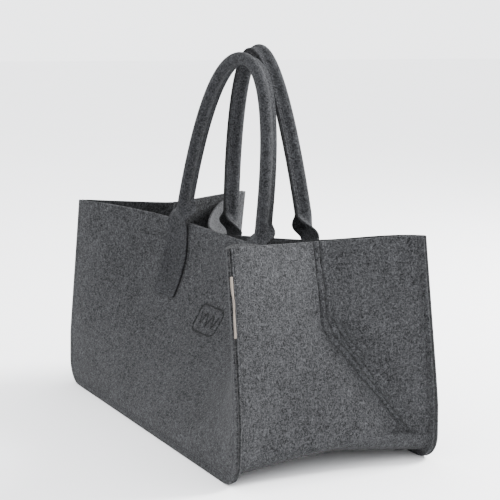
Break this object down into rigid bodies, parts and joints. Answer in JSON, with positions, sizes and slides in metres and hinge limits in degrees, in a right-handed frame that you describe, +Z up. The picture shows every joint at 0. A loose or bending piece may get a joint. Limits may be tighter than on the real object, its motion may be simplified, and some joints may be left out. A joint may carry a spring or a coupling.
{
  "type": "knitting bag",
  "caption": "Open felt carrying bag with two panels, a creased gusset strip, rolled handles that fold outward and a leather tag in the seam.",
  "frame": {"origin": "on the floor under the middle of the bag, at the bottom centre of its box", "axes": "+Z up, +X along the bag towards the end with the leather tag, -Y towards the panel with the debossed mark"},
  "size_m": [0.5018, 0.2402, 0.4326],
  "materials": {
    "felt": "thick melange wool felt, matt",
    "handle_felt": "rolled and stitched wool felt, matt",
    "thread": "matt polyester sewing thread",
    "leather": "smooth taupe leather with raw edges"
  },
  "bodies": {
    "bag": {"front_panel": "felt", "back_panel": "felt", "gusset": "felt", "front_near_tab": "handle_felt", "front_far_tab": "handle_felt", "back_near_tab": "handle_felt", "back_far_tab": "handle_felt", "front_seam_thread": "thread", "back_seam_thread": "thread", "front_near_tab_thread": "thread", "front_far_tab_thread": "thread", "back_near_tab_thread": "thread", "back_far_tab_thread": "thread"},
    "front_handle": {"front_handle": "handle_felt", "front_handle_thread": "thread"},
    "back_handle": {"back_handle": "handle_felt", "back_handle_thread": "thread"},
    "tag": {"leather_tag": "leather"}
  },
  "joints": [
    {"name": "front_handle_swing", "type": "hinge", "parent": "bag", "child": "front_handle", "pos_m": [0.00284, -0.02844, 0.22165], "axis": [0.9749, 0.2064, -0.0836], "range_deg": [0, 134]},
    {"name": "back_handle_swing", "type": "hinge", "parent": "bag", "child": "back_handle", "pos_m": [0.01519, 0.03802, 0.21583], "axis": [-0.9857, -0.145, -0.0862], "range_deg": [0, 138]},
    {"name": "tag_flex", "type": "hinge", "parent": "bag", "child": "tag", "pos_m": [0.23344, -0.11264, 0.18155], "axis": [-0.1681, 0, 0.9858], "range_deg": [-45, 60], "stiffness_Nm_per_rad": 0.002}
  ]
}
